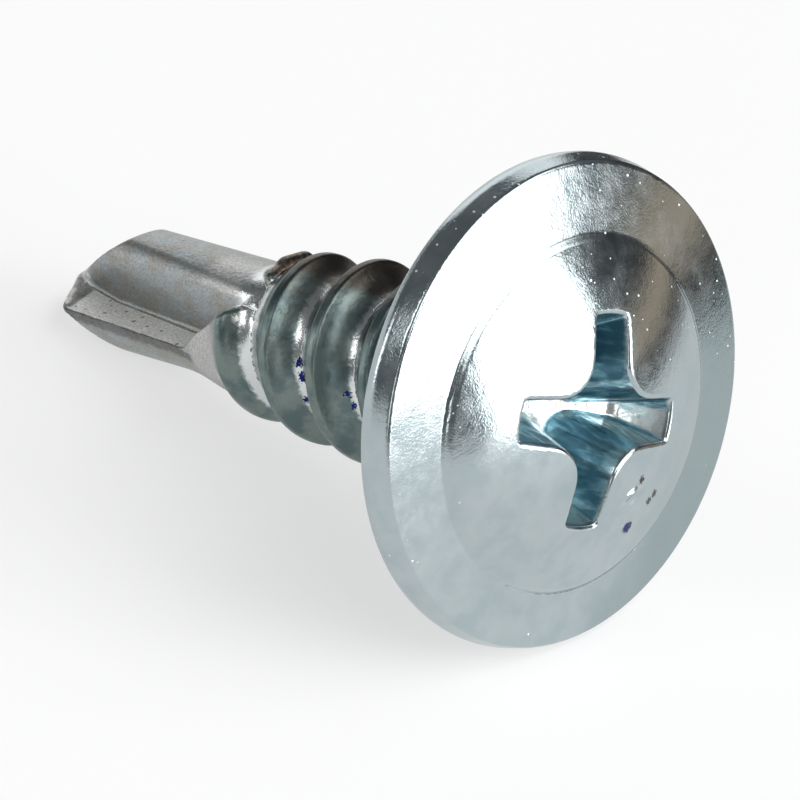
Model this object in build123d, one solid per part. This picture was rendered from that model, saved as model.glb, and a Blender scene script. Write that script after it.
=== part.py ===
from build123d import *
from math import atan2, ceil, cos, degrees, radians, sin, tan
import os

# Wafer-head self-drilling screw with a Phillips recess, lying as it comes to rest.
#
# The screw is one cold-forged piece: a wide thin flange with a stepped dome, a cross recess,
# a coarse rolled thread that fades in and out, and a pinch-forged drill point with two flutes.
# It is modelled standing, with the flange's bearing face at Z = 0 and the head upwards, and is
# then laid on the rim of its flange and the edge of its drill point. Millimetres and degrees.

# Head: a thin flange, forged a little off the shank's axis, under a stepped dome.
FLANGE_DIAMETER = 10.0
FLANGE_BACK_DIAMETER = 9.86
FLANGE_WIDEST_HEIGHT = 0.25
FLANGE_RIDGE_DIAMETER = 9.78
FLANGE_RIM_HEIGHT = 0.72
FLANGE_EDGE_ROUND = 0.06
FLANGE_OFFSET = 0.13
FLANGE_OFFSET_TURN = 20
DOME_DIAMETER = 7.24
DOME_FOOT_HEIGHT = 0.95
DOME_STEP_HEIGHT = 0.11
DOME_STEP_INSET = 0.08
HEAD_HEIGHT = 1.9

# Cross recess, Phillips No. 2, with drafted wings, conical ends and a conical floor.
RECESS_SPAN = 4.3
RECESS_WING_WIDTH = 1.0
RECESS_END_DEPTH = 1.1
RECESS_END_ANGLE = 26.5
RECESS_FLOOR_ANGLE = 22
RECESS_SIDE_DRAFT = 13
RECESS_ROOT_WIDTH = 0.1
RECESS_CORNER_RADIUS = 0.8
RECESS_LIP_CHAMFER = 0.1
RECESS_TURN = 11.7

# Shank: a plain drill body that swells into the threaded core, earlier on one side.
DRILL_DIAMETER = 2.62
CORE_DIAMETER = 2.96
THREADED_OFFSET = 0.07
THREADED_OFFSET_TURN = 180
SWELL_START = -9.15
SWELL_END = -8.0
LATE_SWELL_START = -7.6
LATE_SWELL_SLANT = 32
LATE_SWELL_INSET = 0.28
NECK_FILLET = 0.6

# Coarse right-handed thread.
THREAD_DIAMETER = 4.12
THREAD_PITCH = 1.5
THREAD_CREST_WIDTH = 0.22
THREAD_FLANK_ANGLE = 60
THREAD_SINK = 0.1
THREAD_START = -7.5
THREAD_START_TURN = 80
THREAD_START_DIAMETER = 3.08
THREAD_NEXT_DIAMETER = 3.8
THREAD_END = -0.7
THREAD_FADE = 0.6

# Drill point: two opposed flutes with straight cutting edges, and two relief planes a lip.
SCREW_LENGTH = 13.15
PRIMARY_RISE = 35.9
PRIMARY_TURN = 52
SECONDARY_RISE = 56.1
SECONDARY_TURN = 77
EDGE_TURN = 128
EDGE_TWIST = 2
HEEL_TURN = 57.5
HEEL_TWIST = 3.6
HEEL_ROUND = 0.3
TIP_CORNER_OFFSET = 0
TIP_CORNER_HEIGHT = 0.29
KNEE_LENGTH = 1.33
KNEE_CORNER_OFFSET = 0.38
KNEE_CORNER_HEIGHT = 0.15
RUNOUT_CORNER_OFFSET = 0.60
RUNOUT_CORNER_HEIGHT = 0.55
FLUTE_CORNER_RADIUS = 0.12
FLUTE_END = -7.65
FLUTE_END_SLANT = 51
FLUTE_END_SLOPE = 20

# Rest: the side of the screw that faces down, turned from the local X axis.
REST_TURN = 210

# Turn of the seams of turned solids, which keeps them off the seams of the thread's turns.
SEAM_TURN = 37

# Spare length by which a cutting or joining solid runs past what it meets.
SPARE = 0.5

# Placement of a simple solid that stands on the origin.
STAND = (Align.CENTER, Align.CENTER, Align.MIN)


def polar(radius, turn):
    """Point of the XY plane at a radius and an angle in degrees."""
    return (radius * cos(radians(turn)), radius * sin(radians(turn)))


def spun(outline):
    """Solid of revolution about Z of a closed outline drawn in the XZ plane."""
    return revolve(make_face(outline), axis=Axis.Z)


def flange():
    """Flange: bearing face, slightly crowned rim, ridge, and a shallow conical top."""
    bearing = (FLANGE_BACK_DIAMETER / 2, 0)
    widest = (FLANGE_DIAMETER / 2, FLANGE_WIDEST_HEIGHT)
    ridge = (FLANGE_RIDGE_DIAMETER / 2, FLANGE_RIM_HEIGHT)
    rise = (DOME_FOOT_HEIGHT - FLANGE_RIM_HEIGHT) / (ridge[0] - DOME_DIAMETER / 2)
    inner_radius = DOME_DIAMETER / 2 - 3 * FLANGE_OFFSET - DOME_STEP_INSET
    inner = (inner_radius, FLANGE_RIM_HEIGHT + rise * (ridge[0] - inner_radius))
    outline = Polyline((0, 0), bearing, widest, ridge, inner, (0, inner[1]), close=True)
    profile = make_face(Plane.XZ * outline)
    edges = profile.vertices().filter_by(lambda corner: corner.X > inner_radius + SPARE)
    profile = fillet(edges, FLANGE_EDGE_ROUND)
    solid = revolve(profile, axis=Axis.Z)
    return Pos(*polar(FLANGE_OFFSET, FLANGE_OFFSET_TURN), 0) * solid


def dome():
    """Dome: a short conical step and a spherical cap, rooted inside the flange."""
    foot = (DOME_DIAMETER / 2, DOME_FOOT_HEIGHT)
    step = (foot[0] - DOME_STEP_INSET, foot[1] + DOME_STEP_HEIGHT)
    root = (foot[0], FLANGE_WIDEST_HEIGHT)
    sides = Polyline((0, HEAD_HEIGHT), (0, root[1]), root, foot, step)
    cap = TangentArc((0, HEAD_HEIGHT), step, tangent=(1, 0))
    return Rot(0, 0, RECESS_TURN + 45) * spun(Plane.XZ * Curve([sides, cap]))


def recess_envelope():
    """Solid that a spinning recess punch sweeps: conical wing ends over a conical floor."""
    mouth = RECESS_SPAN / 2
    end_radius = mouth - RECESS_END_DEPTH * tan(radians(RECESS_END_ANGLE))
    end_height = recess_mouth_height() - RECESS_END_DEPTH
    floor_height = end_height - end_radius * tan(radians(RECESS_FLOOR_ANGLE))
    top_height = HEAD_HEIGHT + SPARE
    top_radius = mouth + (top_height - recess_mouth_height()) * tan(radians(RECESS_END_ANGLE))
    outline = Polyline(
        (0, floor_height), (end_radius, end_height), (top_radius, top_height), (0, top_height), close=True
    )
    return spun(Plane.XZ * outline)


def recess_mouth_height():
    """Height of the dome's cap where the wings of the recess end."""
    step_radius = DOME_DIAMETER / 2 - DOME_STEP_INSET
    step_height = DOME_FOOT_HEIGHT + DOME_STEP_HEIGHT
    drop = HEAD_HEIGHT - step_height
    cap_radius = (step_radius**2 + drop**2) / (2 * drop)
    centre = HEAD_HEIGHT - cap_radius
    return centre + (cap_radius**2 - (RECESS_SPAN / 2) ** 2) ** 0.5


def cross(width, corner_radius):
    """Outline of the recess: two crossed bars with rounded inner corners."""
    arm = RECESS_SPAN
    bars = Rectangle(2 * arm, width) + Rectangle(width, 2 * arm)
    inner = bars.vertices().filter_by(lambda corner: corner.distance_to(Vertex(0, 0, 0)) < arm)
    return fillet(inner, corner_radius)


def recess():
    """Punch that leaves the cross recess: drafted crossed wings cut to the spun envelope."""
    draft = 2 * tan(radians(RECESS_SIDE_DRAFT))
    depth = (RECESS_WING_WIDTH - RECESS_ROOT_WIDTH) / draft
    top = Pos(0, 0, HEAD_HEIGHT + SPARE) * cross(RECESS_WING_WIDTH + SPARE * draft, RECESS_CORNER_RADIUS)
    bottom = Pos(0, 0, HEAD_HEIGHT - depth) * cross(RECESS_ROOT_WIDTH, RECESS_CORNER_RADIUS)
    wings = loft([bottom, top], ruled=True)
    return Rot(0, 0, RECESS_TURN) * (wings & recess_envelope())


def drill_body():
    """Plain drill body, carried on inside the threaded core."""
    stem = Cylinder(DRILL_DIAMETER / 2, SCREW_LENGTH, align=STAND)
    return Rot(0, 0, SEAM_TURN * 3) * Pos(0, 0, -SCREW_LENGTH) * stem


def core():
    """Threaded core with its swell, later on one land, and the fillet under the head."""
    start = DRILL_DIAMETER / 2 - THREADED_OFFSET
    radius = CORE_DIAMETER / 2
    foot = radius + NECK_FILLET
    root = Polyline(
        (foot, 0),
        (foot, FLANGE_WIDEST_HEIGHT),
        (0, FLANGE_WIDEST_HEIGHT),
        (0, SWELL_START),
        (start, SWELL_START),
        (radius, SWELL_END),
        (radius, -NECK_FILLET),
    )
    neck = RadiusArc((radius, -NECK_FILLET), (foot, 0), -NECK_FILLET)
    solid = Rot(0, 0, SEAM_TURN * 2) * spun(Plane.XZ * Curve([root, neck]))
    side = 2 * CORE_DIAMETER
    late = Box(side, side, side, align=(Align.MIN, Align.CENTER, Align.MAX))
    return solid - Pos(LATE_SWELL_INSET, 0, LATE_SWELL_START) * Rot(LATE_SWELL_SLANT, 0, 0) * late


def thread_turn(start, crest_start, crest_end):
    """One turn of the thread's ridge from a height, its crest rising between two radii."""
    depth = (THREAD_DIAMETER - DRILL_DIAMETER) / 2 + THREAD_SINK
    half_crest = THREAD_CREST_WIDTH / 2
    half_root = half_crest + depth * tan(radians(THREAD_FLANK_ANGLE / 2))
    flare = degrees(atan2(crest_end - crest_start, THREAD_PITCH))
    path = Helix(THREAD_PITCH, THREAD_PITCH, crest_start - depth, center=(0, 0, start), cone_angle=flare)
    section = Plane(origin=path @ 0, x_dir=(1, 0, 0), z_dir=path % 0) * Polygon(
        (0, -half_root), (depth, -half_crest), (depth, half_crest), (0, half_root), align=None
    )
    return sweep(section, path=path, is_frenet=True)


def thread():
    """Turns of the thread, rising over its lead and faded out under the head."""
    count = ceil((THREAD_END - THREAD_START) / THREAD_PITCH) + 1
    diameters = [THREAD_START_DIAMETER, THREAD_NEXT_DIAMETER] + [THREAD_DIAMETER] * (count - 1)
    turns = []
    for index in range(count):
        start = THREAD_START + index * THREAD_PITCH
        turn = thread_turn(start, diameters[index] / 2, diameters[index + 1] / 2)
        turns.append((Rot(0, 0, THREAD_START_TURN) * turn) & thread_envelope())
    return turns


def thread_envelope():
    """Solid of revolution that the thread stays inside, tapered under the head."""
    outer = THREAD_DIAMETER / 2 + SPARE
    core = CORE_DIAMETER / 2
    outline = Polyline(
        (0, -SCREW_LENGTH),
        (outer, -SCREW_LENGTH),
        (outer, THREAD_END - THREAD_FADE),
        (core, THREAD_END),
        (0, THREAD_END),
        close=True,
    )
    return Rot(0, 0, SEAM_TURN) * spun(Plane.XZ * outline)


def flute_section(height, offset, rise):
    """Outline of one flute: a rake face and a back wall that meet in a rounded corner."""
    drill = DRILL_DIAMETER / 2
    beyond = height + SCREW_LENGTH
    corner = Vector(-offset, rise)
    edge = Vector(*polar(drill, EDGE_TURN + EDGE_TWIST * beyond))
    heel_turn = HEEL_TURN + HEEL_TWIST * beyond
    heel = Vector(*polar(drill, heel_turn))
    rake_end = edge + (edge - corner).normalized() * CORE_DIAMETER
    wall_end = heel - (heel - corner).normalized() * HEEL_ROUND
    heel_end = wall_end + Vector(*polar(CORE_DIAMETER, heel_turn - 45))
    outline = make_face(
        Polyline(
            (corner.X, corner.Y),
            (wall_end.X, wall_end.Y),
            (heel_end.X, heel_end.Y),
            (0, CORE_DIAMETER * 2),
            (rake_end.X, rake_end.Y),
            close=True,
        )
    )
    by_distance = outline.vertices().sort_by(SortBy.DISTANCE)
    outline = fillet(by_distance[0], FLUTE_CORNER_RADIUS)
    wall_corner = outline.vertices().sort_by_distance((wall_end.X, wall_end.Y))[0]
    return Pos(0, 0, height) * fillet(wall_corner, HEEL_ROUND)


def flute():
    """Cutter for one flute, deepening to a knee, then running out towards the head."""
    tip = flute_section(-SCREW_LENGTH - SPARE, TIP_CORNER_OFFSET, TIP_CORNER_HEIGHT)
    knee = flute_section(-SCREW_LENGTH + KNEE_LENGTH, KNEE_CORNER_OFFSET, KNEE_CORNER_HEIGHT)
    runout = flute_section(SWELL_END + SPARE, RUNOUT_CORNER_OFFSET, RUNOUT_CORNER_HEIGHT)
    cutter = loft([tip, knee, runout], ruled=True)
    slant = tan(radians(FLUTE_END_SLANT))
    slope = tan(radians(FLUTE_END_SLOPE))
    end = Plane(origin=(0, DRILL_DIAMETER / 2, FLUTE_END), z_dir=(-slant, -slope, 1))
    return split(cutter, bisect_by=end, keep=Keep.BOTTOM)


def relieved(body, rise, turn):
    """Body with its end cut by a plane through the chisel point, rising behind the lip."""
    direction = polar(sin(radians(rise)), EDGE_TURN + turn)
    plane = Plane(origin=(0, 0, -SCREW_LENGTH), z_dir=(-direction[0], -direction[1], cos(radians(rise))))
    return split(body, bisect_by=plane, keep=Keep.TOP)


def pointed(body):
    """Body with two flutes and both lips relieved, the second half turned about the axis."""
    for _ in range(2):
        body = relieved(body, PRIMARY_RISE, PRIMARY_TURN)
        body = relieved(body, SECONDARY_RISE, SECONDARY_TURN)
        body = body - flute()
        body = Rot(0, 0, 180) * body
    return body


def head():
    """Flange and dome, before the recess is punched."""
    return flange() + dome()


def recessed(body):
    """Body with the cross recess punched into its dome and the edge of its mouth broken."""
    punch = recess()
    cut = body - punch
    mouth = new_edges(body, punch, combined=cut)
    return cut.chamfer(RECESS_LIP_CHAMFER, None, mouth)


def stem():
    """Everything under the head: threaded core, thread and drill point."""
    threaded = Pos(*polar(THREADED_OFFSET, THREADED_OFFSET_TURN), 0) * (core() + thread())
    return pointed(drill_body() + threaded)


def tilted(body, tilt):
    """Body laid along +X on its resting side, its head end raised by a tilt."""
    return Rot(0, 90 - tilt, 0) * Rot(0, 0, -REST_TURN) * body


def rest_tilt(rim, point):
    """Tilt at which the flange's rim and the drill point touch the same level plane."""
    low, high = 0, 45
    while high - low > 0.001:
        tilt = (low + high) / 2
        if tilted(rim, tilt).bounding_box().min.Z < tilted(point, tilt).bounding_box().min.Z:
            low = tilt
        else:
            high = tilt
    return tilt


def screw():
    """The whole screw at rest, standing on Z = 0 about the centre of its bounding box."""
    body = stem()
    point = split(body, bisect_by=Plane.XY.offset(SWELL_START), keep=Keep.BOTTOM)
    laid = tilted(recessed(head() + body), rest_tilt(flange(), point))
    box = laid.bounding_box()
    return Pos(-box.center().X, -box.center().Y, -box.min.Z) * laid


if __name__ == "__main__":
    os.makedirs("parts", exist_ok=True)
    export_step(screw(), "parts/screw.step")
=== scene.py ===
import math

import bpy
import numpy as np
from mathutils import Matrix, Vector


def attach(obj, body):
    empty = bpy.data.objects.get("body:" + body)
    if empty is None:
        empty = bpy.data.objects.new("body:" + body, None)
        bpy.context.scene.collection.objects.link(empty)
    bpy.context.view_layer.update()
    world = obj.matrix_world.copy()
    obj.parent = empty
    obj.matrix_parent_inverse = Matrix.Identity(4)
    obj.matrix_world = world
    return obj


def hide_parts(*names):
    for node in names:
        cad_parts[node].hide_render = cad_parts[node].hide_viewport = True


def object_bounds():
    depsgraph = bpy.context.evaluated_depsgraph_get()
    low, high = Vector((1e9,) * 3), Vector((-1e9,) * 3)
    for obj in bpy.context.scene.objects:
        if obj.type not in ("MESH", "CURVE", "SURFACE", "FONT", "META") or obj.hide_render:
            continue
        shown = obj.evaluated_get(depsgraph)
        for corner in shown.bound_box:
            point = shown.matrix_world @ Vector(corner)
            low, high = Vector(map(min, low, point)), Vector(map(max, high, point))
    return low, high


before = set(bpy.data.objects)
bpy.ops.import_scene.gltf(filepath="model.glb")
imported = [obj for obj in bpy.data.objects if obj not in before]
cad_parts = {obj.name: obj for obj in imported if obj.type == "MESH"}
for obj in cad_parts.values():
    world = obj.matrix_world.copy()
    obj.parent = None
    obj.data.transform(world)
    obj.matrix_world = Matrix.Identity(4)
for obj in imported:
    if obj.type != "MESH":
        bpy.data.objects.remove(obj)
LOW_BEFORE, HIGH_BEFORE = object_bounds()

# ---------------------------------------------------------------------------
# The standing screw in the row frame: where its flange's back centre lies, and
# the row directions of its own x, y and z (z runs from the point to the head).
# Lengths on the standing screw are in millimetres and its angles in degrees.
ORIGIN = Vector((0.005193, -0.000023, 0.004584))
AXIS_X = Vector((-0.257376, 0.5, 0.826896))
AXIS_Y = Vector((-0.148596, -0.866025, 0.477409))
AXIS_Z = Vector((0.954818, 0.0, 0.297192))
AXES = np.array((AXIS_X, AXIS_Y, AXIS_Z))
MILLIMETRE = 0.001
PER_METRE = 1000


def row_direction(x, y, z):
    return AXIS_X * x + AXIS_Y * y + AXIS_Z * z


def row_point(x, y, z):
    return ORIGIN + row_direction(x, y, z) * MILLIMETRE


def to_row(points):
    return points @ AXES * MILLIMETRE + np.array(ORIGIN)


def to_standing(points):
    return (points - np.array(ORIGIN)) @ AXES.T * PER_METRE


# ---------------------------------------------------------------------------
# Camera: a long lens, from above and in front of the head.
VIEW_RIGHT = row_direction(0.2820853, -0.6543911, 0.7015698)
VIEW_DOWN = row_direction(-0.9593893, -0.1924079, 0.2062797)
VIEW_FORWARD = row_direction(0.0, -0.7312671, -0.6820913)
VIEW_FROM = row_point(-0.694562, 116.956199, 105.476331)
LENS = 360
SENSOR_WIDTH = 36


def make_camera():
    data = bpy.data.cameras.new("camera")
    data.lens = LENS
    data.sensor_width = SENSOR_WIDTH
    data.clip_start = 0.01
    data.clip_end = 20
    camera = bpy.data.objects.new("camera", data)
    bpy.context.scene.collection.objects.link(camera)
    turn = Matrix((VIEW_RIGHT, -VIEW_DOWN, -VIEW_FORWARD)).transposed().to_4x4()
    camera.matrix_world = Matrix.Translation(VIEW_FROM) @ turn
    bpy.context.scene.camera = camera


# ---------------------------------------------------------------------------
# Sizes of the standing screw. They follow those of the solid, but the first
# crest is higher here, and the neck under the head curves inwards, where the
# solid's bulges. A corner of a turned outline is its radius and its height.
FLANGE_CENTRE = (0.12216, 0.04446)
FLANGE_BACK = (4.93, 0)
FLANGE_WIDEST = (5.0, 0.25)
FLANGE_RIDGE = (4.89, 0.72)
FLANGE_EDGE_ROUND = 0.06
FLANGE_CROWN_WIDTH = 0.05
DOME_FOOT = (3.62, 0.95)
DOME_STEP = (3.54, 1.06)
DOME_STEP_ROUND = 0.04
DOME_FOOT_ROUND = 0.04
HEAD_HEIGHT = 1.9
CAP_RISE = 0.84
CAP_RADIUS = (DOME_STEP[0] ** 2 + CAP_RISE**2) / (2 * CAP_RISE)
CAP_CENTRE = HEAD_HEIGHT - CAP_RADIUS

RECESS_REACH = 2.15
RECESS_HALF_WIDTH = 0.5
RECESS_END_DEPTH = 1.1
RECESS_END_ANGLE = 26.5
RECESS_FLOOR_ANGLE = 22
RECESS_SIDE_DRAFT = 13
RECESS_CORNER_RADIUS = 0.8
RECESS_TURN = 11.7
RECESS_LOWEST = -0.05
RECESS_FLOOR_ROUND = 0.1
RECESS_END_ROUND = 0.06
RECESS_LIP_ROUND = 0.08
MOUTH_HEIGHT = CAP_CENTRE + math.sqrt(CAP_RADIUS**2 - RECESS_REACH**2)

CORE_RADIUS = 1.48
CORE_TOP = 0.3
THREADED_OFFSET = 0.07
SWELL_START = (1.24, -9.15)
SWELL_END = (CORE_RADIUS, -8.0)
SWELL_EASE = 0.05
LATE_SWELL_START = -7.6
LATE_SWELL_SLANT = 32
LATE_SWELL_INSET = 0.28
NECK_FILLET = 0.6

THREAD_PITCH = 1.5
THREAD_START = -7.5
THREAD_START_TURN = 80
CREST_TURNS = (0, 1, 2)
CREST_RADII = (1.70, 1.9, 2.06)
CREST_HALF_WIDTH = 0.11
CREST_ROUND = 0.05
THREAD_ROOT_ROUND = 0.42
FADE_START = (2.56, -1.3)
FADE_END = (CORE_RADIUS, -0.7)

SCREW_LENGTH = 13.15
DRILL_RADIUS = 1.31
PRIMARY_RELIEF = (35.9, 52)
SECONDARY_RELIEF = (56.1, 77)
EDGE_TURN = 128
EDGE_TWIST = 2
HEEL_TURN = 57.5
HEEL_TWIST = 3.6
HEEL_ROUND = 0.3
FLUTE_LEVELS = (-13.65, -11.82, -7.5)
FLUTE_CORNER_X = (0, -0.38, -0.6)
FLUTE_CORNER_Y = (0.29, 0.15, 0.55)
FLUTE_CORNER_RADIUS = 0.12
FLUTE_END = -7.65
FLUTE_END_SLANT = 51
FLUTE_END_SLOPE = 20
DRILL_EASE = 0.10
RELIEF_ROUND = 0.03

# Wear, which only this scene has. Each end of a rod is its place and its radius.
BURR_ROOT = ((0.92, 1.02, -6.94, 0.19), (1.14, 0.76, -6.98, 0.22))
BURR_TOP = ((1.21, 0.66, -6.97, 0.28), (1.42, 0.48, -6.78, 0.24))
LIP_INNER = ((-0.14, 0.25, -12.90, 0.19), (-0.58, 0.58, -12.74, 0.12))
LIP_OUTER = ((-0.58, 0.58, -12.74, 0.12), (-0.775, 0.82, -12.60, 0.08))
EDGE_LUMP = 0.010
EDGE_LUMPS_END = -8.6
NICK_X = -1.16
NICK_Y = -1.52
NICK_COS = 0.687
NICK_SIN = 0.726


# ---------------------------------------------------------------------------
# Form of the screw as a signed distance field in millimetres, on the standing
# screw: z = 0 at the flange's back, the head above it and the point below.
# Edges and roots get their small rounds here.


def fillet(a, b, radius):
    """Union of two fields with a round in the corner between them."""
    corner = np.hypot(np.maximum(radius - a, 0), np.maximum(radius - b, 0))
    return np.maximum(radius, np.minimum(a, b)) - corner


def edge(a, b, radius):
    """Intersection of two fields with a rounded edge."""
    return -fillet(-a, -b, radius)


def blend(a, b, width):
    """Union of two fields that meet at a blunt angle, eased over a width."""
    ease = np.maximum(width - np.abs(a - b), 0)
    return np.minimum(a, b) - ease * ease / (4 * width)


def line(r, z, start, end):
    """Distance to the right of a line that runs from start to end."""
    dr, dz = end[0] - start[0], end[1] - start[1]
    length = math.hypot(dr, dz)
    return ((r - start[0]) * dz - (z - start[1]) * dr) / length


def turned(x, y, degrees):
    """Coordinates in axes that are turned by an angle."""
    c, s = math.cos(math.radians(degrees)), math.sin(math.radians(degrees))
    return x * c + y * s, y * c - x * s


def tan(degrees):
    return math.tan(math.radians(degrees))


def flange(x, y, z):
    r = np.hypot(x - FLANGE_CENTRE[0], y - FLANGE_CENTRE[1])
    rim = line(r, z, FLANGE_WIDEST, FLANGE_RIDGE)
    top = line(r, z, FLANGE_RIDGE, DOME_FOOT)
    under = edge(-z, line(r, z, FLANGE_BACK, FLANGE_WIDEST), FLANGE_EDGE_ROUND)
    over = edge(rim, top, FLANGE_EDGE_ROUND)
    return -blend(-under, -over, FLANGE_CROWN_WIDTH)


def dome(x, y, z):
    """The stepped dome and its cap, rooted inside the flange."""
    r = np.hypot(x, y)
    cap = np.hypot(r, z - CAP_CENTRE) - CAP_RADIUS
    side = np.maximum(line(r, z, DOME_FOOT, DOME_STEP), r - DOME_FOOT[0])
    return np.maximum(edge(cap, side, DOME_STEP_ROUND), FLANGE_WIDEST[1] - z)


def punch(x, y, z):
    """The cross recess: drafted crossed wings inside a conical end and floor."""
    r = np.hypot(x, y)
    x, y = turned(x, y, RECESS_TURN)
    half = RECESS_HALF_WIDTH - (HEAD_HEIGHT - z) * tan(RECESS_SIDE_DRAFT)
    # The factor is near the draft's cosine, so that the field grows evenly off the walls.
    wings = fillet(np.abs(x) - half, np.abs(y) - half, RECESS_CORNER_RADIUS) * 0.97
    end = MOUTH_HEIGHT - RECESS_END_DEPTH
    reach = RECESS_REACH - RECESS_END_DEPTH * tan(RECESS_END_ANGLE)
    side = line(r, z, (reach, end), (reach + tan(RECESS_END_ANGLE), end + 1))
    cone = line(r, z, (0, end - reach * tan(RECESS_FLOOR_ANGLE)), (reach, end))
    floor = np.maximum(cone, RECESS_LOWEST - z)
    return edge(wings, edge(side, floor, RECESS_FLOOR_ROUND), RECESS_END_ROUND)


def core(x, y, z):
    """The threaded core, and its swell from the drill, which starts later on one land."""
    r = np.hypot(x, y)
    swell = -blend(-line(r, z, SWELL_START, SWELL_END), -(r - CORE_RADIUS), SWELL_EASE)
    slant = math.radians(LATE_SWELL_SLANT)
    face = y * -math.sin(slant) + (z - LATE_SWELL_START) * math.cos(slant)
    late = np.maximum(swell, np.minimum(x - LATE_SWELL_INSET, -face))
    return np.maximum(late, z - CORE_TOP)


def thread(x, y, z):
    """A right-handed ridge: its crest rises over two turns and fades under the head."""
    r = np.hypot(x, y)
    rise = z - THREAD_START
    turn = (np.degrees(np.arctan2(y, x)) - THREAD_START_TURN) % 360 / 360
    run = turn + np.round(rise / THREAD_PITCH - turn)
    crest = np.interp(run, CREST_TURNS, CREST_RADII) - r
    lead = 1 / np.sqrt(1 + (THREAD_PITCH / (2 * math.pi * np.maximum(r, 0.5))) ** 2)
    # The two factors are the cosine and the sine of the flank's 30 degrees.
    away = (np.abs(rise - THREAD_PITCH * run) * lead - CREST_HALF_WIDTH) * 0.866 - crest * 0.5
    ridge = edge(away, -crest, CREST_ROUND)
    ridge = np.maximum(ridge, -run * 2 * math.pi * r)
    return np.maximum(ridge, line(r, z, FADE_START, FADE_END))


def flute(x, y, z):
    """One flute of the drill point: a rake face and a back wall, run out at an angle."""
    beyond = z + SCREW_LENGTH
    cx = np.interp(z, FLUTE_LEVELS, FLUTE_CORNER_X)
    cy = np.interp(z, FLUTE_LEVELS, FLUTE_CORNER_Y)
    lip = np.radians(EDGE_TURN + EDGE_TWIST * beyond)
    heel = np.radians(HEEL_TURN + HEEL_TWIST * beyond)
    ex, ey = DRILL_RADIUS * np.cos(lip) - cx, DRILL_RADIUS * np.sin(lip) - cy
    hx, hy = DRILL_RADIUS * np.cos(heel) - cx, DRILL_RADIUS * np.sin(heel) - cy
    rake = ((y - cy) * ex - (x - cx) * ey) / np.hypot(ex, ey)
    size = np.hypot(hx, hy)
    wall = ((x - cx) * hy - (y - cy) * hx) / size
    bx, by = cx + hx * (1 - HEEL_ROUND / size), cy + hy * (1 - HEEL_ROUND / size)
    fall = heel - math.radians(45)
    rolled = (x - bx) * np.sin(fall) - (y - by) * np.cos(fall)
    inner = edge(rake, blend(wall, rolled, 0.1), FLUTE_CORNER_RADIUS)
    return edge(inner, flute_end(x, y, z), FLUTE_CORNER_RADIUS)


def flute_end(x, y, z):
    """The slanted face in which a flute runs out."""
    slant, slope = tan(FLUTE_END_SLANT), tan(FLUTE_END_SLOPE)
    rise = -slant * x - slope * (y - DRILL_RADIUS) + z - FLUTE_END
    return rise / math.hypot(slant, slope, 1)


def relief(x, y, z, rise, turn):
    """One relief plane behind a lip, at an angle to the tip and a turn from the edge."""
    way = math.radians(EDGE_TURN + turn)
    rise = math.radians(rise)
    across = (x * math.cos(way) + y * math.sin(way)) * math.sin(rise)
    return across - (z + SCREW_LENGTH) * math.cos(rise)


def point_cone(x, y, z):
    """The four relief planes of the drill point together."""
    planes = [relief(side * x, side * y, z, *PRIMARY_RELIEF) for side in (1, -1)]
    planes += [relief(side * x, side * y, z, *SECONDARY_RELIEF) for side in (1, -1)]
    return np.max(planes, axis=0)


def rod(x, y, z, start, end):
    """A tapered rod with round ends."""
    a, b = np.array(start[:3]), np.array(end[:3])
    px, py, pz = x - a[0], y - a[1], z - a[2]
    run = b - a
    share = np.clip((px * run[0] + py * run[1] + pz * run[2]) / (run @ run), 0, 1)
    away = (px - share * run[0]) ** 2 + (py - share * run[1]) ** 2 + (pz - share * run[2]) ** 2
    return np.sqrt(away) - (start[3] + share * (end[3] - start[3]))


def burr(x, y, z):
    """A curled chip of metal where the thread begins."""
    return blend(rod(x, y, z, *BURR_ROOT), rod(x, y, z, *BURR_TOP), 0.05)


def blunt(x, y, z):
    """The worn, rounded end of one lip at the tip."""
    lip = blend(rod(x, y, z, *LIP_INNER), rod(x, y, z, *LIP_OUTER), 0.10)
    return edge(lip, point_cone(x, y, z) - 0.09, 0.10)


def ragged(x, y, z):
    """Small lumps along the outer edge of one rake face: how far the surface drops."""
    turn = np.degrees(np.arctan2(y, x)) - EDGE_TURN - EDGE_TWIST * (z + SCREW_LENGTH)
    beside = np.exp(-(((turn - 3) / 6) ** 2))
    outer = np.clip(np.hypot(x, y) / 0.1 - 11, 0, 1)
    waves = np.sin(7 * z + 2 * np.sin(3.1 * z)) + 0.6 * np.sin(15 * z + 3 * np.sin(4.3 * z))
    return EDGE_LUMP * (beside * outer * (z < EDGE_LUMPS_END)) * waves


def nick(x, y, z):
    """A dent beside the recess with a raised lip: how far the surface drops there."""
    dx, dy = x - NICK_X, y - NICK_Y
    along = NICK_COS * dx - NICK_SIN * dy
    across = NICK_SIN * dx + NICK_COS * dy
    lip = 0.06 * np.exp(-((along / 0.20) ** 2) - (across / 0.07) ** 2)
    dent = 0.05 * np.exp(-((along / 0.25) ** 2) - ((across + 0.17) / 0.12) ** 2)
    return (z > 1) * (dent - lip)


def pointed(body, x, y, z):
    """The body with its drill point: the same cuts and wear on both sides of the axis."""
    for side in (1, -1):
        place = (side * x, side * y, z)
        body = edge(body, relief(*place, *PRIMARY_RELIEF), RELIEF_ROUND)
        body = edge(body, relief(*place, *SECONDARY_RELIEF), RELIEF_ROUND)
        # The cutting edge is sharp and the heel is round.
        rounds = np.interp(place[0], (-0.6, 0.1), (0.03, 0.25))
        body = edge(body, -flute(*place), rounds)
        body = blend(body, blunt(*place), 0.18) + ragged(*place)
    return body


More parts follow.
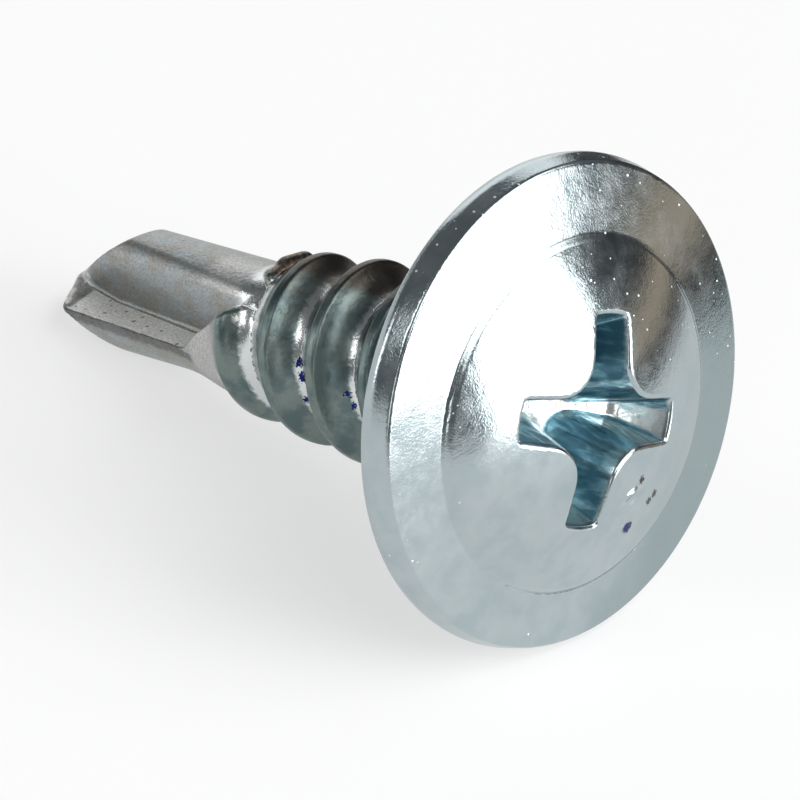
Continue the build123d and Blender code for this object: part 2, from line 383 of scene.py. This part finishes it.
def screw(x, y, z):
    """The whole screw."""
    trunk = fillet(core(x + THREADED_OFFSET, y, z), flange(x, y, z), NECK_FILLET)
    trunk = fillet(trunk, dome(x, y, z), DOME_FOOT_ROUND)
    trunk = fillet(trunk, thread(x + THREADED_OFFSET, y, z), THREAD_ROOT_ROUND)
    drill = np.maximum(np.hypot(x, y) - DRILL_RADIUS, z)
    body = pointed(blend(trunk, drill, DRILL_EASE), x, y, z)
    body = blend(body, burr(x, y, z), 0.06)
    body = edge(body, -punch(x, y, z), RECESS_LIP_ROUND)
    return body + nick(x, y, z)


# ---------------------------------------------------------------------------
# Skin: a mesh on the zero surface of the field, found on a grid of cells. The
# grid is filled block by block, and blocks away from the surface get only a sign.
STEP = 0.05
BLOCK = 8
BATCH = 400
GRID_LOW = (-5.1, -5.2, -13.4)
GRID_HIGH = (5.4, 5.3, 2.1)
UNITS = np.eye(3, dtype=int)
CORNERS = [(i, j, k) for i in (0, 1) for j in (0, 1) for k in (0, 1)]
CELL_EDGES = [(corner, axis) for corner in CORNERS for axis in range(3) if not corner[axis]]
TRIANGLES = 190000


def field_on_grid(low, high):
    """The field on a grid of points, worked out fully only near the surface."""
    size = STEP * BLOCK
    count = np.ceil((np.array(high) - low) / size).astype(int)
    axes = [low[i] + size * (np.arange(count[i]) + 0.5) for i in range(3)]
    middle = screw(*np.meshgrid(*axes, indexing="ij"))
    shape = [n for pair in zip(count, (BLOCK,) * 3) for n in pair]
    grid = np.empty(shape, np.float32)
    grid[:] = np.sign(middle)[:, None, :, None, :, None]
    near = np.argwhere(np.abs(middle) < size * 1.25)
    inner = np.stack(np.meshgrid(*[np.arange(BLOCK)] * 3, indexing="ij"))
    for start in range(0, len(near), BATCH):
        part = near[start : start + BATCH]
        blocks = part.T[:, :, None, None, None] * BLOCK
        at = [low[i] + STEP * (blocks[i] + inner[i]) for i in range(3)]
        grid[part[:, 0], :, part[:, 1], :, part[:, 2], :] = screw(*at)
    return grid.reshape(count * BLOCK)


def slopes(points, reach=0.004):
    """The field and its gradient at points."""
    found = []
    for axis in range(3):
        ahead, behind = points.copy(), points.copy()
        ahead[:, axis] += reach
        behind[:, axis] -= reach
        found.append((screw(*ahead.T) - screw(*behind.T)) / (2 * reach))
    return screw(*points.T), np.stack(found, 1)


def settle(points, rounds=3):
    """Points moved along the gradient onto the surface, and the normals there."""
    for _ in range(rounds):
        value, gradient = slopes(points)
        move = value / np.maximum((gradient**2).sum(1), 0.2)
        points = points - gradient * np.clip(move, -STEP, STEP)[:, None]
    gradient = slopes(points)[1]
    return points, gradient / np.linalg.norm(gradient, axis=1, keepdims=True)


def crossed_cells(inside):
    """The cells that the surface crosses, and a grid with each one's number."""
    cells = [n - 1 for n in inside.shape]
    total = np.zeros(cells, np.int8)
    for i, j, k in CORNERS:
        total += inside[i : i + cells[0], j : j + cells[1], k : k + cells[2]]
    crossed = np.argwhere((total > 0) & (total < 8))
    number = np.full(cells, -1, np.int32)
    number[tuple(crossed.T)] = np.arange(len(crossed))
    return crossed, number


def cell_points(grid, crossed, low):
    """A point in each crossed cell: the mean of where the surface cuts its edges."""
    total = np.zeros((len(crossed), 3))
    hits = np.zeros((len(crossed), 1))
    for corner, axis in CELL_EDGES:
        a = crossed + corner
        b = a + UNITS[axis]
        fa, fb = grid[tuple(a.T)], grid[tuple(b.T)]
        cut = (fa < 0) != (fb < 0)
        share = np.where(cut, fa / np.where(cut, fa - fb, 1), 0)
        total += cut[:, None] * (a + share[:, None] * (b - a))
        hits += cut[:, None]
    return low + STEP * total / hits


def crossing_quads(inside, number):
    """A quad round each grid edge that the surface cuts, facing outwards."""
    quads = []
    for axis in range(3):
        u, v = (axis + 1) % 3, (axis + 2) % 3
        first, second = [slice(None)] * 3, [slice(None)] * 3
        first[axis], second[axis] = slice(0, -1), slice(1, None)
        at = np.argwhere(inside[tuple(first)] != inside[tuple(second)])
        sides, limits = at[:, [u, v]], (number.shape[u], number.shape[v])
        at = at[(sides > 0).all(1) & (sides < limits).all(1)]
        ring = [at - UNITS[u] - UNITS[v], at - UNITS[v], at, at - UNITS[u]]
        quad = np.stack([number[tuple(c.T)] for c in ring], 1)
        flip = ~inside[tuple(at.T)]
        quad[flip] = quad[flip][:, ::-1]
        quads.append(quad)
    return np.concatenate(quads)


def skin():
    """Vertices and quads of the surface."""
    low = np.array(GRID_LOW)
    grid = field_on_grid(low, GRID_HIGH)
    inside = grid < 0
    crossed, number = crossed_cells(inside)
    return cell_points(grid, crossed, low), crossing_quads(inside, number)


def thinned(piece, count):
    """The mesh of a piece of quads, thinned to about the wanted number of triangles."""
    thin = piece.modifiers.new("thin", "DECIMATE")
    thin.ratio = min(1, TRIANGLES / (2 * count))
    thin.use_collapse_triangulate = True
    graph = bpy.context.evaluated_depsgraph_get()
    mesh = bpy.data.meshes.new_from_object(piece.evaluated_get(graph))
    piece.modifiers.remove(thin)
    return mesh


def make_screw():
    """The skin as one piece, settled onto the surface and kept within the solid's box."""
    points, quads = skin()
    mesh = bpy.data.meshes.new("screw_skin")
    mesh.from_pydata(to_row(settle(points)[0]), [], quads)
    piece = bpy.data.objects.new("screw_skin", mesh)
    bpy.context.scene.collection.objects.link(piece)
    piece.data = thinned(piece, len(quads))
    bpy.data.meshes.remove(mesh)
    flat = np.empty(3 * len(piece.data.vertices))
    piece.data.vertices.foreach_get("co", flat)
    points, normals = settle(to_standing(flat.reshape(-1, 3)), 2)
    bounded = np.clip(to_row(points), LOW_BEFORE, HIGH_BEFORE)
    piece.data.vertices.foreach_set("co", bounded.ravel())
    piece.data.shade_smooth()
    piece.data.normals_split_custom_set_from_vertices(normals @ AXES)
    return piece


# ---------------------------------------------------------------------------
# Materials. Colours are linear; sizes and places in them are in millimetres.
class Paint:
    """A material whose nodes are added by short calls. Values may be numbers or sockets."""

    def __init__(self, name):
        self.material = bpy.data.materials.new(name)
        self.material.use_nodes = True
        self.nodes = self.material.node_tree.nodes
        self.links = self.material.node_tree.links
        self.shader = self.nodes["Principled BSDF"]

    def put(self, value, socket):
        if isinstance(value, bpy.types.NodeSocket):
            self.links.new(value, socket)
        else:
            socket.default_value = value

    def show(self, shader):
        """Make a shader's result the surface of the material."""
        self.links.new(shader.outputs[0], self.nodes["Material Output"].inputs["Surface"])

    def math(self, operation, *values):
        node = self.nodes.new("ShaderNodeMath")
        node.operation = operation
        for value, socket in zip(values, node.inputs):
            self.put(value, socket)
        return node.outputs[0]

    def plus(self, first, second):
        return self.math("ADD", first, second)

    def minus(self, first, second):
        return self.math("SUBTRACT", first, second)

    def times(self, first, second):
        return self.math("MULTIPLY", first, second)

    def swing(self, pattern, reach):
        """A pattern from 0 to 1 as a value that swings about 0."""
        return self.times(self.minus(pattern, 0.5), reach)

    def length(self, a, b):
        return self.math("SQRT", self.plus(self.times(a, a), self.times(b, b)))

    def ramp(self, value, start, end, low=0.0, high=1.0):
        """Low before start, high beyond end, and a smooth rise between them."""
        node = self.nodes.new("ShaderNodeMapRange")
        node.interpolation_type = "SMOOTHSTEP"
        for item, name in ((value, "Value"), (start, "From Min"), (end, "From Max")):
            self.put(item, node.inputs[name])
        self.put(low, node.inputs["To Min"])
        self.put(high, node.inputs["To Max"])
        return node.outputs["Result"]

    def both(self, *masks):
        """A mask that holds where all the masks hold."""
        result = masks[0]
        for mask in masks[1:]:
            result = self.times(result, mask)
        return result

    def blend(self, share, first, second):
        """First colour where share is 0, second where it is 1."""
        node = self.nodes.new("ShaderNodeMix")
        node.data_type = "RGBA"
        self.put(share, node.inputs["Factor"])
        # Sockets 6, 7 and 2 are the node's colours A, B and Result.
        self.put(first, node.inputs[6])
        self.put(second, node.inputs[7])
        return node.outputs[2]

    def lean(self, share, first, second):
        """First number where share is 0, second where it is 1."""
        node = self.nodes.new("ShaderNodeMix")
        self.put(share, node.inputs["Factor"])
        self.put(first, node.inputs["A"])
        self.put(second, node.inputs["B"])
        return node.outputs[0]

    def place(self):
        """Place in the row frame, in metres."""
        return self.nodes.new("ShaderNodeTexCoord").outputs["Object"]

    def standing(self):
        """Place on the standing screw, in millimetres."""
        where = self.place()
        node = self.nodes.new("ShaderNodeMapping")
        turn = Matrix((AXIS_X, AXIS_Y, AXIS_Z))
        node.inputs["Scale"].default_value = (PER_METRE, PER_METRE, PER_METRE)
        node.inputs["Rotation"].default_value = turn.to_euler()
        node.inputs["Location"].default_value = turn @ ORIGIN * -PER_METRE
        self.links.new(where, node.inputs["Vector"])
        return node.outputs[0]

    def parts(self, where):
        """The x, y and z of a place."""
        node = self.nodes.new("ShaderNodeSeparateXYZ")
        self.links.new(where, node.inputs[0])
        return node.outputs

    def stretched(self, where, factors):
        node = self.nodes.new("ShaderNodeVectorMath")
        node.operation = "MULTIPLY"
        self.put(where, node.inputs[0])
        node.inputs[1].default_value = factors
        return node.outputs[0]

    def noise(self, where, size, detail=2.0, rough=0.5):
        """Noise from 0 to 1 about 0.5, with lumps of about a size in millimetres."""
        node = self.nodes.new("ShaderNodeTexNoise")
        self.put(where, node.inputs["Vector"])
        node.inputs["Scale"].default_value = 1 / size
        node.inputs["Detail"].default_value = detail
        node.inputs["Roughness"].default_value = rough
        return node.outputs["Fac"]

    def specks(self, where, size, reach):
        """1 in small round specks, one or none to each cell of a size in millimetres."""
        node = self.nodes.new("ShaderNodeTexVoronoi")
        self.put(where, node.inputs["Vector"])
        node.inputs["Scale"].default_value = 1 / size
        chosen = self.nodes.new("ShaderNodeSeparateColor")
        self.links.new(node.outputs["Color"], chosen.inputs[0])
        width = self.times(chosen.outputs[0], reach)
        return self.ramp(self.math("DIVIDE", node.outputs["Distance"], width), 1.0, 0.6)

    def near(self, where, place, radius, soft=0.5):
        """1 near a place, 0 beyond a radius."""
        node = self.nodes.new("ShaderNodeVectorMath")
        node.operation = "DISTANCE"
        self.put(where, node.inputs[0])
        node.inputs[1].default_value = place
        return self.ramp(node.outputs["Value"], radius, radius * soft)

    def facing(self, way):
        """How much the surface faces a way or its opposite: 1 where it does fully."""
        normal = self.nodes.new("ShaderNodeNewGeometry").outputs["Normal"]
        node = self.nodes.new("ShaderNodeVectorMath")
        node.operation = "DOT_PRODUCT"
        self.links.new(normal, node.inputs[0])
        node.inputs[1].default_value = way
        return self.math("ABSOLUTE", node.outputs["Value"])

    def bump(self, height, strength, distance):
        node = self.nodes.new("ShaderNodeBump")
        node.inputs["Strength"].default_value = strength
        node.inputs["Distance"].default_value = distance
        self.put(height, node.inputs["Height"])
        return node.outputs[0]


ZINC = (0.385, 0.455, 0.475, 1)
ZINC_PALE = (0.44, 0.495, 0.51, 1)
# Darker, more teal zinc: painted shade on one side of the head.
ZINC_PAINTED_SHADE = (0.275, 0.345, 0.355, 1)
DUST = (0.80, 0.82, 0.82, 1)
TEAL = (0.18, 0.30, 0.36, 1)
TEAL_PALE = (0.46, 0.61, 0.64, 1)
# Near-white: bare zinc at torn spots, and a painted highlight in the recess.
BARE_ZINC_AND_HIGHLIGHT = (0.84, 0.85, 0.83, 1)
THREAD_DARK = (0.115, 0.16, 0.165, 1)
THREAD_GREEN = (0.19, 0.235, 0.22, 1)
# Pale zinc of the thread roots, partly a painted glint.
ROOT_PALE_AND_GLINT = (0.66, 0.69, 0.69, 1)
RUST = (0.22, 0.17, 0.135, 1)
SCALE_BROWN = (0.062, 0.056, 0.048, 1)
POINT_GREY = (0.41, 0.445, 0.455, 1)
POINT_BEIGE = (0.39, 0.385, 0.36, 1)
# Near-white: a painted highlight on the rake faces, and the paler tip.
RAKE_HIGHLIGHT_AND_TIP_PALE = (0.86, 0.86, 0.83, 1)
# Pale grey for a painted highlight where the flutes end.
POINT_PAINTED_HIGHLIGHT = (0.58, 0.585, 0.575, 1)
# Dark of pits, also used for painted shade behind the cutting edges.
PIT_AND_SHADE_DARK = (0.07, 0.07, 0.065, 1)
INK = (0.012, 0.02, 0.12, 1)
WHITE = (1, 1, 1, 1)
PAPER = (0.9, 0.9, 0.9, 1)
CARD_DARK = (0.06, 0.06, 0.065, 1)
CARD_TAN = (0.62, 0.48, 0.36, 1)
WORLD_GREY = (0.15, 0.155, 0.16, 1)
FLOOR_GLOW = 0.6

# Fine unevenness of the metal: how strong its bump is, and how deep in metres.
BUMP_STRENGTH = 0.5
BUMP_DEPTH = 0.00002

# Marks on the standing screw: the place of each, and for ink its radius too.
HEAD_INK = (-1.85, -1.92, 1.43, 0.17)
HEAD_PITS = ((-0.86, -1.68, 1.66), (-1.05, -2.40, 1.45), (-1.22, -2.30, 1.47))
HEAD_PIT_RADIUS = 0.11
TORN_SPOTS = ((0.40, 1.30, -7.10), (0.05, 1.50, -7.05))
RUSTY_CHIP = (1.22, 0.68, -7.0)
THREAD_INK = (
    (-0.60, 1.39, -3.89, 0.13),
    (-0.83, 1.27, -3.80, 0.16),
    (-1.02, 1.13, -3.68, 0.13),
    (-1.17, 0.99, -3.70, 0.10),
    (-0.54, 1.40, -5.23, 0.13),
    (-0.79, 1.29, -5.12, 0.15),
    (-1.19, 0.97, -5.15, 0.11),
)
RAKE_WAY = AXIS_X * 0.81 + AXIS_Y * 0.587


class Plated(Paint):
    """Zinc plate: bright on the head, teal in the recess, dark on the thread, dull on the point."""

    def __init__(self):
        super().__init__("zinc_plated")
        self.where = self.standing()
        self.x, self.y, self.z = self.parts(self.where)
        self.out = self.length(self.x, self.y)
        self.trunk = self.length(self.plus(self.x, THREADED_OFFSET), self.y)
        self.find_regions()
        self.find_rake()
        self.find_pits()
        self.find_recess()
        self.links.new(self.colour(), self.shader.inputs["Base Color"])
        # The rake faces are mostly non-metallic, so their near-white paint shows as a painted highlight.
        self.links.new(self.lean(self.rake, 1.0, 0.2), self.shader.inputs["Metallic"])
        self.links.new(self.roughness(), self.shader.inputs["Roughness"])
        self.links.new(self.relief(), self.shader.inputs["Normal"])

    def find_regions(self):
        """Noises, and masks of the head, the point, dull zinc, pale dust and thread roots."""
        self.broad = self.noise(self.where, 0.9, 3)
        self.fine = self.noise(self.where, 0.12, 3, 0.6)
        self.head = self.ramp(self.z, -0.35, -0.05)
        wavy = self.plus(self.z, self.times(self.broad, 0.6))
        self.point = self.ramp(wavy, -7.1, -7.45)
        self.grain = self.noise(self.where, 0.045, 2)
        self.dull = self.ramp(self.noise(self.where, 0.6, 4, 0.6), 0.3, 0.7)
        often = self.plus(self.broad, self.ramp(self.x, 0.5, 3.0, 0.0, 0.22))
        self.dust = self.both(self.specks(self.where, 0.2, 0.17), self.ramp(often, 0.55, 0.66))
        # A ragged radius: below it the roots are pale, partly as a painted glint.
        worn = self.plus(self.trunk, self.times(self.fine, 0.10))
        self.root = self.ramp(worn, 1.62, 1.57)

    def find_rake(self):
        """Masks of the rake faces of the drill point and of the dark band behind their edges: partly a
        rough rolled edge, partly painted shade.
        """
        faces = self.ramp(self.facing(RAKE_WAY), 0.94, 0.98)
        inner = self.ramp(self.out, 1.285, 1.265)
        self.rake = self.both(faces, inner, self.ramp(self.z, -8.3, -8.5))
        turn = self.times(self.math("ARCTAN2", self.y, self.x), 180 / math.pi)
        lip = self.times(self.plus(self.z, EDGE_TURN / EDGE_TWIST + SCREW_LENGTH), EDGE_TWIST)
        behind = self.math("FLOORED_MODULO", self.minus(turn, lip), 180.0)
        wavy = self.plus(behind, self.times(self.fine, 10.0))
        band, low = self.ramp(wavy, 18, 12), self.ramp(self.z, -8.6, -8.8)
        self.edge = self.both(band, low, self.ramp(self.out, 1.25, 1.28))

    def find_pits(self):
        """Mask of dark pits, more of them on the rake faces, and the noise of drawn-out ribs."""
        many = self.plus(self.broad, self.times(self.rake, 0.3))
        self.pits = self.both(self.specks(self.where, 0.17, 0.36), self.ramp(many, 0.6, 0.72))
        self.ribs = self.noise(self.stretched(self.where, (1.0, 1.0, 0.12)), 0.13, 2)

    def find_recess(self):
        """Masks of the recess and of the cone at the ends of its wings."""
        rise = self.minus(self.z, CAP_CENTRE)
        deep = self.minus(CAP_RADIUS, self.length(self.out, rise))
        narrow = self.minus(self.out, self.times(self.z, 0.8))
        sunk, inner = self.ramp(deep, 0.06, 0.16), self.ramp(narrow, 1.35, 1.25)
        self.recess = self.both(self.head, sunk, inner)
        way = math.radians(RECESS_TURN)
        c, s = math.cos(way), math.sin(way)
        self.along = self.plus(self.times(self.x, c), self.times(self.y, s))
        across = self.minus(self.times(self.y, c), self.times(self.x, s))
        self.cone = self.both(self.recess, self.ramp(self.wall(across), -0.02, -0.06))

    def wall(self, across):
        """Distance from the walls of the recess's wings, as in the form: below 0 within them."""
        drawn = self.times(self.minus(HEAD_HEIGHT, self.z), tan(RECESS_SIDE_DRAFT))
        half = self.minus(RECESS_HALF_WIDTH, drawn)
        a = self.minus(self.math("ABSOLUTE", self.along), half)
        b = self.minus(self.math("ABSOLUTE", across), half)
        gap_a = self.math("MAXIMUM", self.minus(RECESS_CORNER_RADIUS, a), 0.0)
        gap_b = self.math("MAXIMUM", self.minus(RECESS_CORNER_RADIUS, b), 0.0)
        nearer = self.math("MAXIMUM", self.math("MINIMUM", a, b), RECESS_CORNER_RADIUS)
        return self.minus(nearer, self.length(gap_a, gap_b))

    def colour(self):
        head, thread, point = self.head_colour(), self.thread_colour(), self.point_colour()
        return self.blend(self.head, self.blend(self.point, thread, point), head)

    def head_colour(self):
        """Pale zinc with dust, painted shade in darker teal to one side, teal in the recess with a
        painted highlight at one end, an ink spot and pits.
        """
        head = self.blend(self.dull, ZINC, ZINC_PALE)
        # Painted shade: the head turns darker and more teal towards -y.
        aside = self.plus(self.y, self.times(self.broad, 1.2))
        head = self.blend(self.ramp(aside, -1.0, -3.2, 0.0, 0.8), head, ZINC_PAINTED_SHADE)
        head = self.blend(self.dust, head, DUST)
        streaks = self.ramp(self.plus(self.ribs, self.broad), 0.85, 1.2)
        teal = self.blend(streaks, TEAL, TEAL_PALE)
        # Painted highlight: near-white patches on the recess's end cone, on one side of the recess.
        bright = self.both(self.cone, self.ramp(self.along, 0.20, 0.12), self.ramp(self.fine, 0.25, 0.4))
        head = self.blend(self.recess, head, self.blend(bright, teal, BARE_ZINC_AND_HIGHLIGHT))
        head = self.blend(self.spot(HEAD_INK[:3], HEAD_INK[3]), head, INK)
        for place in HEAD_PITS:
            head = self.blend(self.spot(place, HEAD_PIT_RADIUS), head, PIT_AND_SHADE_DARK)
        return head

    def thread_colour(self):
        """Dark green thread with pale roots, partly a painted glint, brown scale, torn bright spots,
        rust and ink.
        """
        green = self.ramp(self.noise(self.where, 0.5, 4, 0.6), 0.38, 0.62)
        thread = self.blend(green, THREAD_DARK, THREAD_GREEN)
        # The roots are pale, partly as paler zinc and partly as a painted glint that brightens the
        # strips of light in them.
        thread = self.blend(self.root, thread, ROOT_PALE_AND_GLINT)
        tops = self.ramp(self.plus(self.x, self.swing(self.broad, 1.6)), 0.8, 1.35)
        scale = self.both(tops, self.ramp(self.z, -7.7, -7.3))
        thread = self.blend(scale, thread, SCALE_BROWN)
        torn = self.ramp(self.fine, 0.5, 0.55)
        for place in TORN_SPOTS:
            thread = self.blend(self.both(self.near(self.where, place, 0.28), torn), thread, BARE_ZINC_AND_HIGHLIGHT)
        rusty = self.blend(self.ramp(self.fine, 0.4, 0.6), SCALE_BROWN, RUST)
        thread = self.blend(self.near(self.where, RUSTY_CHIP, 0.55, 0.85), thread, rusty)
        for x, y, z, radius in THREAD_INK:
            thread = self.blend(self.spot((x, y, z), radius), thread, INK)
        return thread

    def point_colour(self):
        """Dull grey and beige point, with painted highlights where the flutes end and on the rakes, and
        paler at the tip.
        """
        beige = self.ramp(self.noise(self.where, 0.5, 5, 0.65), 0.4, 0.6)
        point = self.blend(beige, POINT_GREY, POINT_BEIGE)
        # Painted highlight: paler where the flutes run out, only on the +y side.
        collar = self.both(self.ramp(self.z, -9.0, -8.5), self.ramp(self.out, 1.2, 1.25))
        point = self.blend(self.both(collar, self.ramp(self.y, 0.4, 0.9)), point, POINT_PAINTED_HIGHLIGHT)
        # Painted highlight: the rake faces are near-white, as where they catch the light from above; the
        # same colour is mixed in towards the tip.
        point = self.blend(self.rake, point, RAKE_HIGHLIGHT_AND_TIP_PALE)
        point = self.blend(self.ramp(self.z, -12.5, -12.75, 0.0, 0.7), point, RAKE_HIGHLIGHT_AND_TIP_PALE)
        point = self.blend(self.ramp(self.grain, 0.3, 0.7, 0.35, 0.0), point, PIT_AND_SHADE_DARK)
        # Painted shade with a rough edge: the land just behind each cutting edge is darkened.
        point = self.blend(self.times(self.edge, 0.6), point, PIT_AND_SHADE_DARK)
        return self.blend(self.times(self.pits, 0.7), point, PIT_AND_SHADE_DARK)

    def spot(self, place, radius):
        """Ragged spot round a place."""
        near = self.near(self.where, place, radius * 1.6, 0.0)
        torn = self.swing(self.grain, 1.6)
        return self.both(self.ramp(near, 0.02, 0.1), self.ramp(self.plus(near, torn), 0.45, 0.6))

    def roughness(self):
        head = self.lean(self.dull, 0.15, 0.23)
        head = self.plus(head, self.swing(self.fine, 0.10))
        head = self.lean(self.dust, head, 0.65)
        head = self.lean(self.recess, head, 0.26)
        thread = self.lean(self.root, 0.36, 0.22)
        point = self.lean(self.rake, 0.44, 0.55)
        return self.lean(self.head, self.lean(self.point, thread, point), head)

    def relief(self):
        """Normal of the surface's fine unevenness."""
        mottle = self.times(self.noise(self.where, 0.25, 4, 0.6), 0.45)
        grain = self.times(self.grain, 0.25)
        head = self.plus(self.plus(mottle, grain), self.times(self.dust, 0.4))
        head = self.lean(self.recess, head, self.times(self.ribs, 1.2))
        pitted = self.minus(self.fine, self.times(self.pits, 0.8))
        rough = self.plus(self.broad, pitted)
        rough = self.times(rough, self.lean(self.point, 0.8, 1.8))
        return self.bump(self.lean(self.head, rough, head), BUMP_STRENGTH, BUMP_DEPTH)


def glow(paint, colour):
    """A shader that glows in a colour."""
    node = paint.nodes.new("ShaderNodeEmission")
    paint.put(colour, node.inputs["Color"])
    return node


def floor_paper():
    """White paper, which glows a little to the camera and in reflections."""
    paint = Paint("floor_paper")
    paint.shader.inputs["Base Color"].default_value = PAPER
    paint.shader.inputs["Roughness"].default_value = 0.9
    light = glow(paint, WHITE)
    path = paint.nodes.new("ShaderNodeLightPath").outputs
    seen = paint.math("MAXIMUM", path["Is Camera Ray"], path["Is Glossy Ray"])
    seen = paint.math("MAXIMUM", seen, path["Is Transmission Ray"])
    share = paint.times(seen, FLOOR_GLOW)
    mix = paint.nodes.new("ShaderNodeMixShader")
    paint.put(share, mix.inputs[0])
    paint.links.new(paint.shader.outputs[0], mix.inputs[1])
    paint.links.new(light.outputs[0], mix.inputs[2])
    paint.show(mix)
    return paint.material


# ---------------------------------------------------------------------------
# Stage: its sizes are in metres, in the row frame.
FLOOR_RADIUS = 0.7
FLOOR_RIM_RADIUS = 0.8
FLOOR_RIM_HEIGHT = 0.05
FLOOR_SIDES = 64
CARD_RADIUS = 0.034
CARD_HEIGHT = 0.024
CARD_TURNS = (44, 122)
CARD_POINTS = 40


def sheet(name, points, faces, material):
    """A thin piece of the stage."""
    mesh = bpy.data.meshes.new(name)
    mesh.from_pydata(points, [], faces)
    mesh.materials.append(material)
    thing = bpy.data.objects.new(name, mesh)
    bpy.context.scene.collection.objects.link(thing)
    return thing


def ring(radius, turns, height):
    return [(radius * math.cos(a), radius * math.sin(a), height) for a in turns]


def make_floor():
    """A wide flat floor whose far rim rises a little, so that low views end on it."""
    turns = np.linspace(0, 2 * math.pi, FLOOR_SIDES, endpoint=False)
    points = ring(FLOOR_RADIUS, turns, 0) + ring(FLOOR_RIM_RADIUS, turns, FLOOR_RIM_HEIGHT)
    faces = [tuple(range(FLOOR_SIDES))]
    for i in range(FLOOR_SIDES):
        after = (i + 1) % FLOOR_SIDES
        faces.append((i, FLOOR_SIDES + i, FLOOR_SIDES + after, after))
    floor = sheet("floor", points, faces, floor_paper())


def card_paint():
    """Glows dark, with a tan band across part of its foot: a painted dark and tan reflection."""
    paint = Paint("card")
    x, y, z = paint.parts(paint.place())
    turn = paint.math("ARCTAN2", y, x)
    tan_part = paint.both(
        paint.ramp(z, 0.0035, 0.0050),
        paint.ramp(z, 0.0100, 0.0085),
        paint.ramp(turn, math.radians(86), math.radians(78)),
    )
    paint.show(glow(paint, paint.blend(tan_part, CARD_DARK, CARD_TAN)))
    return paint.material


def make_card():
    """A curved card beside the screw, seen only in its gloss."""
    turns = np.radians(np.linspace(*CARD_TURNS, CARD_POINTS))
    points = ring(CARD_RADIUS, turns, 0) + ring(CARD_RADIUS, turns, CARD_HEIGHT)
    spans = range(CARD_POINTS - 1)
    faces = [(i, i + 1, CARD_POINTS + i + 1, CARD_POINTS + i) for i in spans]
    card = sheet("card", points, faces, card_paint())
    card.visible_camera = False
    card.visible_diffuse = False
    card.visible_shadow = False


# ---------------------------------------------------------------------------
# Light
LAMP_DISTANCE = 0.6
LAMP_AIM = Vector((0, 0, 0.005))


def softbox(name, azimuth, elevation, size, radiance):
    """An area lamp that way from the screw, facing it. Azimuth 0 is along +X."""
    data = bpy.data.lights.new(name, "AREA")
    data.shape = "RECTANGLE"
    data.size, data.size_y = size
    data.energy = radiance * math.pi * size[0] * size[1]
    lamp = bpy.data.objects.new(name, data)
    bpy.context.scene.collection.objects.link(lamp)
    a, e = math.radians(azimuth), math.radians(elevation)
    towards = Vector((math.cos(e) * math.cos(a), math.cos(e) * math.sin(a), math.sin(e)))
    lamp.location = LAMP_AIM + towards * LAMP_DISTANCE
    lamp.rotation_euler = towards.to_track_quat("Z", "Y").to_euler()


def make_world():
    world = bpy.data.worlds.new("studio")
    bpy.context.scene.world = world
    world.use_nodes = True
    ground = world.node_tree.nodes["Background"]
    ground.inputs["Color"].default_value = WORLD_GREY
    ground.inputs["Strength"].default_value = 1.0


make_camera()
make_world()
make_floor()
make_card()
softbox("overhead", 15, 58, (0.9, 0.30), 3.0)
softbox("window", 22, 20, (0.40, 0.38), 7.0)
softbox("strip", -56, 18, (0.10, 0.20), 3.0)
softbox("far_strip", -109, 40, (0.15, 0.25), 3.5)
softbox("side_strip", -140, 10, (0.10, 0.22), 4.0)
softbox("back", 145, 20, (0.45, 0.36), 1.3)

metal = Plated().material
piece = make_screw()
piece.data.materials.append(metal)
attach(piece, "root")
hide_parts("screw")

bpy.context.scene.view_settings.view_transform = "Standard"
